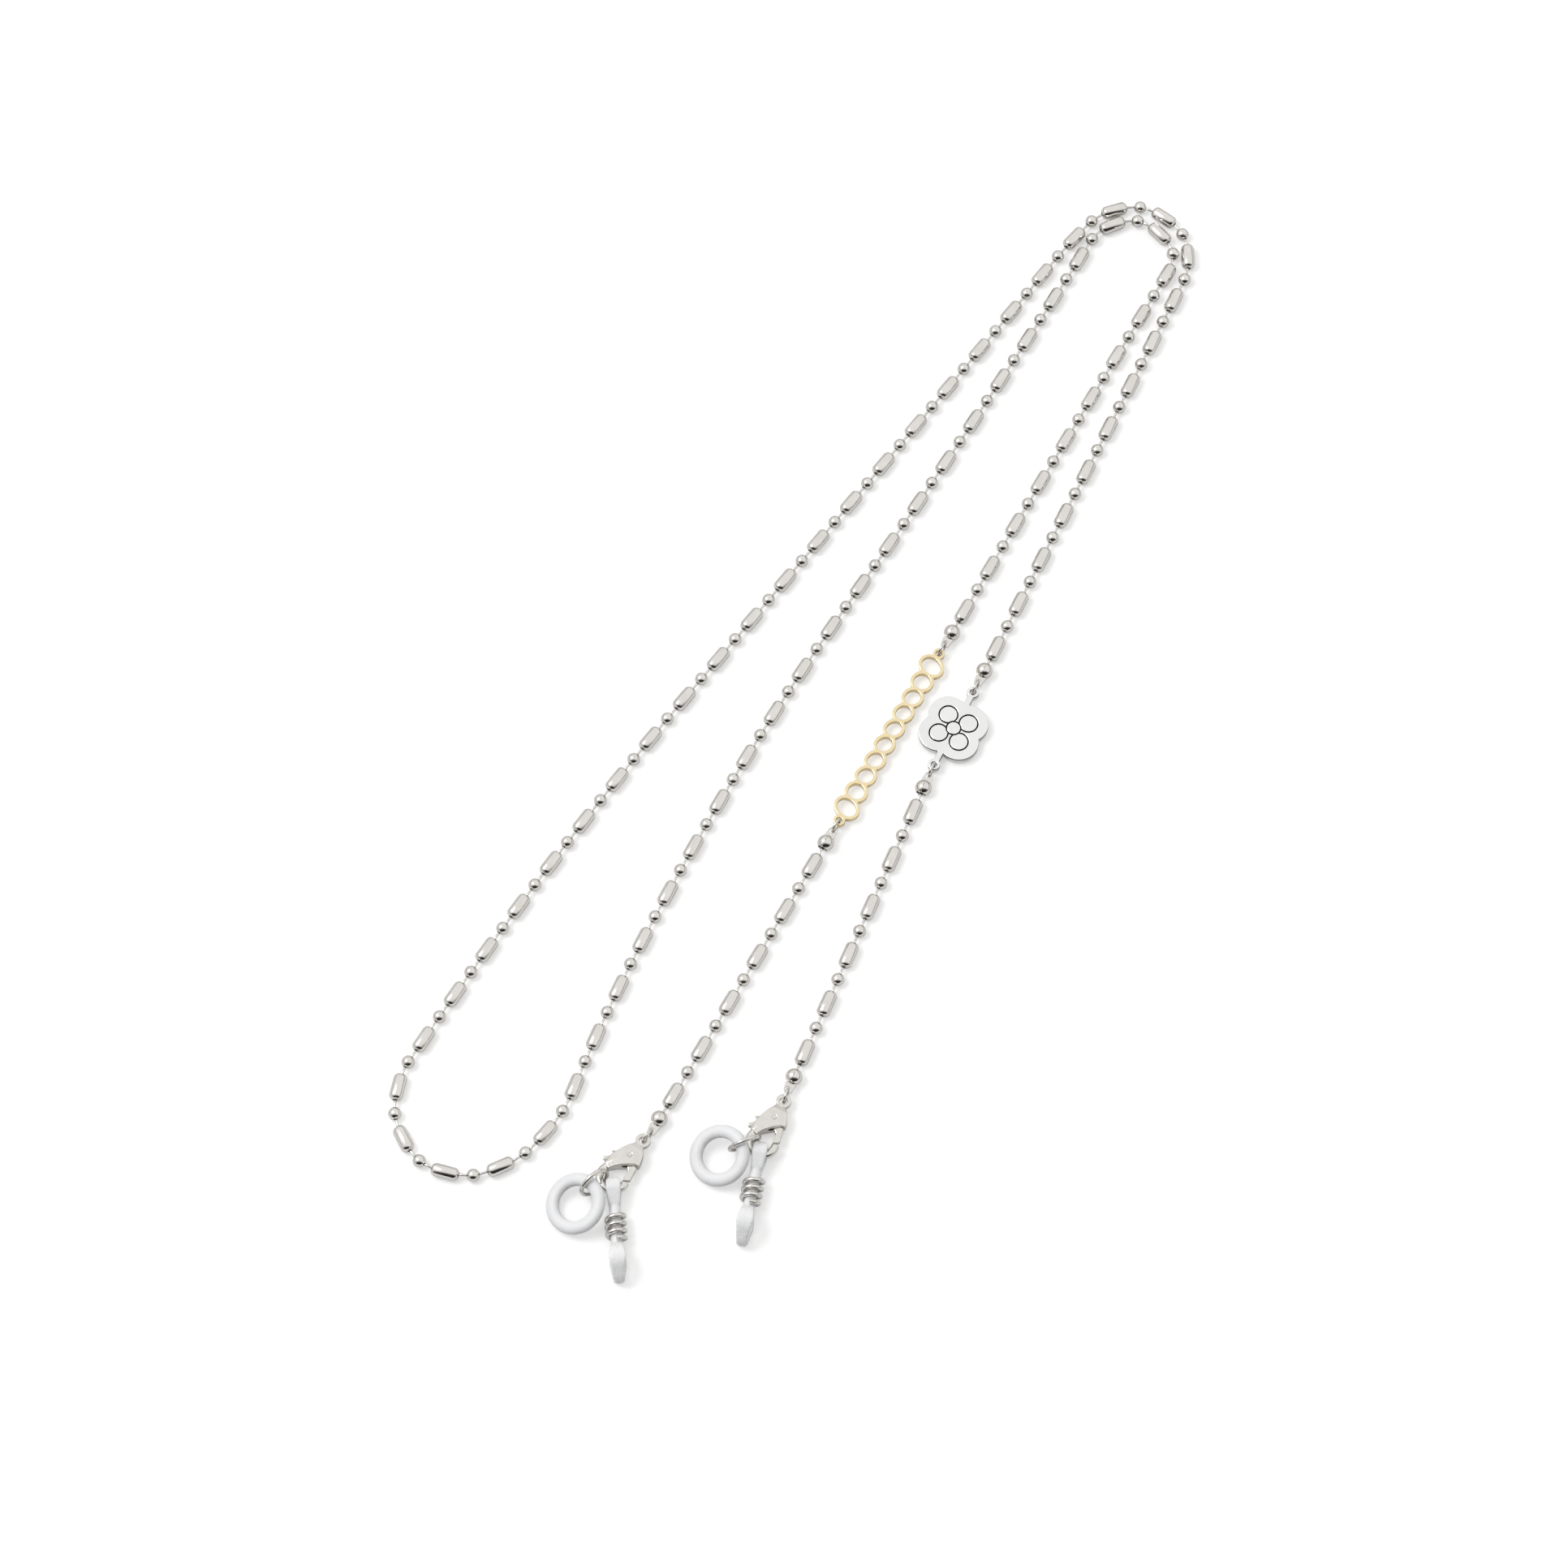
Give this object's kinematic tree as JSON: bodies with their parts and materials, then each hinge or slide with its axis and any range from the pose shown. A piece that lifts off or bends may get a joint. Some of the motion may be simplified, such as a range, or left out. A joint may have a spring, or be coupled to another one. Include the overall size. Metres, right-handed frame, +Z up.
{
  "type": "eyeglass retainer strap",
  "caption": "Ball-and-bar metal eyeglass chain with lobster clasps, silicone temple loops and grip rings, an openwork bar and a lobed pendant.",
  "frame": {"origin": "middle of the underside of the whole piece's box, on the table it lies on", "axes": "+Y along the long strands, from the lower bend and the clasps to the nested upper bends; +Z up from the table; +X to the side of the clasps"},
  "size_m": [0.0678, 0.227, 0.006],
  "materials": {
    "polished_steel": "rolled steel shells, bright polished",
    "steel_wire": "drawn steel wire, bright",
    "cast_clasp": "zinc casting, tumbled and nickel plated",
    "gold_plate": "brass sheet, cut and gold plated, satin",
    "silver_plate": "steel sheet, rhodium plated, fine satin",
    "clear_silicone": "milky translucent silicone, moulded"
  },
  "bodies": {
    "root": {"lower_bend_balls": "polished_steel", "lower_bend_bars": "polished_steel", "lower_bend_pins": "steel_wire"},
    "inner_strand": {"inner_strand_balls": "polished_steel", "inner_strand_bars": "polished_steel", "inner_strand_pins": "steel_wire"},
    "inner_bend": {"inner_bend_balls": "polished_steel", "inner_bend_bars": "polished_steel", "inner_bend_pins": "steel_wire"},
    "inner_end": {"inner_end_balls": "polished_steel", "inner_end_bars": "polished_steel", "inner_end_pins": "steel_wire", "inner_cap": "polished_steel"},
    "left_upper_ring": {"left_upper_ring": "steel_wire"},
    "scroll_bar": {"scroll_bar": "gold_plate"},
    "left_lower_ring": {"left_lower_ring": "steel_wire"},
    "left_tail": {"left_tail_balls": "polished_steel", "left_tail_bars": "polished_steel", "left_tail_pins": "steel_wire", "left_tail_top_cap": "polished_steel", "left_tail_clasp_cap": "polished_steel"},
    "left_clasp_ring": {"left_clasp_ring": "steel_wire"},
    "left_clasp": {"left_clasp_body": "cast_clasp", "left_clasp_lever_pin": "steel_wire", "left_clasp_lever_spring": "steel_wire"},
    "left_clasp_lever": {"left_clasp_lever": "cast_clasp"},
    "left_hook_ring": {"left_hook_ring": "steel_wire"},
    "left_grip_ring": {"left_grip_ring": "clear_silicone"},
    "left_temple_loop": {"left_temple_loop": "clear_silicone"},
    "left_loop_coil": {"left_loop_coil": "steel_wire"},
    "outer_strand": {"outer_strand_balls": "polished_steel", "outer_strand_bars": "polished_steel", "outer_strand_pins": "steel_wire"},
    "outer_bend": {"outer_bend_balls": "polished_steel", "outer_bend_bars": "polished_steel", "outer_bend_pins": "steel_wire"},
    "outer_end": {"outer_end_balls": "polished_steel", "outer_end_bars": "polished_steel", "outer_end_pins": "steel_wire", "outer_cap": "polished_steel"},
    "right_upper_ring": {"right_upper_ring": "steel_wire"},
    "pendant": {"pendant": "silver_plate"},
    "right_lower_ring": {"right_lower_ring": "steel_wire"},
    "right_tail": {"right_tail_balls": "polished_steel", "right_tail_bars": "polished_steel", "right_tail_pins": "steel_wire", "right_tail_top_cap": "polished_steel", "right_tail_clasp_cap": "polished_steel"},
    "right_clasp_ring": {"right_clasp_ring": "steel_wire"},
    "right_clasp": {"right_clasp_body": "cast_clasp", "right_clasp_lever_pin": "steel_wire", "right_clasp_lever_spring": "steel_wire"},
    "right_clasp_lever": {"right_clasp_lever": "cast_clasp"},
    "right_hook_ring": {"right_hook_ring": "steel_wire"},
    "right_grip_ring": {"right_grip_ring": "clear_silicone"},
    "right_temple_loop": {"right_temple_loop": "clear_silicone"},
    "right_loop_coil": {"right_loop_coil": "steel_wire"}
  },
  "joints": [
    {"name": "inner_strand_hinge", "type": "hinge", "parent": "root", "child": "inner_strand", "pos_m": [-0.00722, -0.08171, 0.0012], "axis": [1, 0, 0], "range_deg": [-18, 18]},
    {"name": "inner_bend_hinge", "type": "hinge", "parent": "inner_strand", "child": "inner_bend", "pos_m": [-0.01638, 0.01461, 0.0012], "axis": [1, 0, 0], "range_deg": [-18, 18]},
    {"name": "inner_end_hinge", "type": "hinge", "parent": "inner_bend", "child": "inner_end", "pos_m": [-0.00086, 0.05797, 0.0012], "axis": [-1, 0, 0], "range_deg": [-18, 18]},
    {"name": "left_upper_ring_swing", "type": "hinge", "parent": "inner_end", "child": "left_upper_ring", "pos_m": [0.00232, 0.01621, 0.0015], "axis": [-0.999, -0.0436, 0], "range_deg": [-20, 20]},
    {"name": "scroll_bar_lift", "type": "hinge", "parent": "left_upper_ring", "child": "scroll_bar", "pos_m": [0.00232, 0.01621, 0.0015], "axis": [-0.999, -0.0436, 0], "range_deg": [-15, 30]},
    {"name": "left_lower_ring_swing", "type": "hinge", "parent": "scroll_bar", "child": "left_lower_ring", "pos_m": [0.00504, -0.02241, 0.0015], "axis": [-0.9982, -0.0593, 0], "range_deg": [-20, 20]},
    {"name": "left_tail_lift", "type": "hinge", "parent": "left_lower_ring", "child": "left_tail", "pos_m": [0.00504, -0.02241, 0.0015], "axis": [-0.9982, -0.0593, 0], "range_deg": [-20, 30]},
    {"name": "left_clasp_ring_turn", "type": "hinge", "parent": "left_tail", "child": "left_clasp_ring", "pos_m": [0.0094, -0.08655, 0.0015], "axis": [0, 0, 1], "range_deg": [-12, 12]},
    {"name": "left_clasp_lift", "type": "hinge", "parent": "left_clasp_ring", "child": "left_clasp", "pos_m": [0.00929, -0.08779, 0.0015], "axis": [-0.9962, 0.0872, 0], "range_deg": [-15, 40]},
    {"name": "left_clasp_lever_opens", "type": "hinge", "parent": "left_clasp", "child": "left_clasp_lever", "pos_m": [0.00896, -0.09267, 0.0017], "axis": [-0.0019, -0.0538, -0.9986], "range_deg": [0, 8], "stiffness_Nm_per_rad": 0.0002, "springref_deg": -17.19, "deforming": ["left_clasp_lever_spring"]},
    {"name": "left_hook_ring_swing", "type": "hinge", "parent": "left_clasp", "child": "left_hook_ring", "pos_m": [0.00719, -0.09903, 0.00204], "axis": [-0.7717, 0.6352, -0.0327], "range_deg": [-20, 6]},
    {"name": "left_grip_ring_swing", "type": "hinge", "parent": "left_hook_ring", "child": "left_grip_ring", "pos_m": [0.0064, -0.10065, 0.00375], "axis": [-0.9705, 0.1356, -0.1994], "range_deg": [-15, 12]},
    {"name": "left_temple_loop_lift", "type": "hinge", "parent": "left_clasp", "child": "left_temple_loop", "pos_m": [0.00985, -0.09885, 0.00203], "axis": [-0.7986, -0.6018, 0], "range_deg": [0, 8]},
    {"name": "left_loop_coil_slide", "type": "slide", "parent": "left_temple_loop", "child": "left_loop_coil", "axis": [-0.6018, 0.7986, 0], "range_m": [0, 0.0014]},
    {"name": "outer_strand_hinge", "type": "hinge", "parent": "root", "child": "outer_strand", "pos_m": [-0.03264, -0.07874, 0.0012], "axis": [1, 0, 0], "range_deg": [-18, 18]},
    {"name": "outer_bend_hinge", "type": "hinge", "parent": "outer_strand", "child": "outer_bend", "pos_m": [-0.02779, 0.018, 0.0012], "axis": [1, 0, 0], "range_deg": [-18, 18]},
    {"name": "outer_end_hinge", "type": "hinge", "parent": "outer_bend", "child": "outer_end", "pos_m": [0.00458, 0.06417, 0.0012], "axis": [-1, 0, 0], "range_deg": [-18, 18]},
    {"name": "right_upper_ring_swing", "type": "hinge", "parent": "outer_end", "child": "right_upper_ring", "pos_m": [0.01129, 0.01304, 0.0015], "axis": [-0.9914, -0.1305, 0], "range_deg": [-20, 20]},
    {"name": "pendant_lift", "type": "hinge", "parent": "right_upper_ring", "child": "pendant", "pos_m": [0.01129, 0.01304, 0.0015], "axis": [-0.9914, -0.1305, 0], "range_deg": [-15, 30]},
    {"name": "right_lower_ring_swing", "type": "hinge", "parent": "pendant", "child": "right_lower_ring", "pos_m": [0.01326, -0.00447, 0.0015], "axis": [-0.9877, -0.1564, 0], "range_deg": [-20, 20]},
    {"name": "right_tail_lift", "type": "hinge", "parent": "right_lower_ring", "child": "right_tail", "pos_m": [0.01326, -0.00447, 0.0015], "axis": [-0.9877, -0.1564, 0], "range_deg": [-20, 30]},
    {"name": "right_clasp_ring_turn", "type": "hinge", "parent": "right_tail", "child": "right_clasp_ring", "pos_m": [0.02462, -0.06775, 0.0015], "axis": [0, 0, 1], "range_deg": [-12, 12]},
    {"name": "right_clasp_lift", "type": "hinge", "parent": "right_clasp_ring", "child": "right_clasp", "pos_m": [0.02492, -0.06896, 0.0015], "axis": [-0.9703, -0.2419, 0], "range_deg": [-15, 40]},
    {"name": "right_clasp_lever_opens", "type": "hinge", "parent": "right_clasp", "child": "right_clasp_lever", "pos_m": [0.02569, -0.07379, 0.00169], "axis": [0.0081, -0.0511, -0.9987], "range_deg": [0, 15], "stiffness_Nm_per_rad": 0.0002, "springref_deg": -17.19, "deforming": ["right_clasp_lever_spring"]},
    {"name": "right_hook_ring_swing", "type": "hinge", "parent": "right_clasp", "child": "right_hook_ring", "pos_m": [0.02438, -0.07966, 0.00198], "axis": [-0.5734, 0.818, -0.0465], "range_deg": [-20, 6]},
    {"name": "right_grip_ring_swing", "type": "hinge", "parent": "right_hook_ring", "child": "right_grip_ring", "pos_m": [0.02378, -0.08104, 0.0039], "axis": [-0.8402, 0.5422, 0.0082], "range_deg": [-15, 12]},
    {"name": "right_temple_loop_lift", "type": "hinge", "parent": "right_clasp", "child": "right_temple_loop", "pos_m": [0.02701, -0.0802, 0.00203], "axis": [-0.9272, -0.3746, 0], "range_deg": [-12, 8]},
    {"name": "right_loop_coil_slide", "type": "slide", "parent": "right_temple_loop", "child": "right_loop_coil", "axis": [-0.3746, 0.9272, 0], "range_m": [0, 0.0014]}
  ]
}
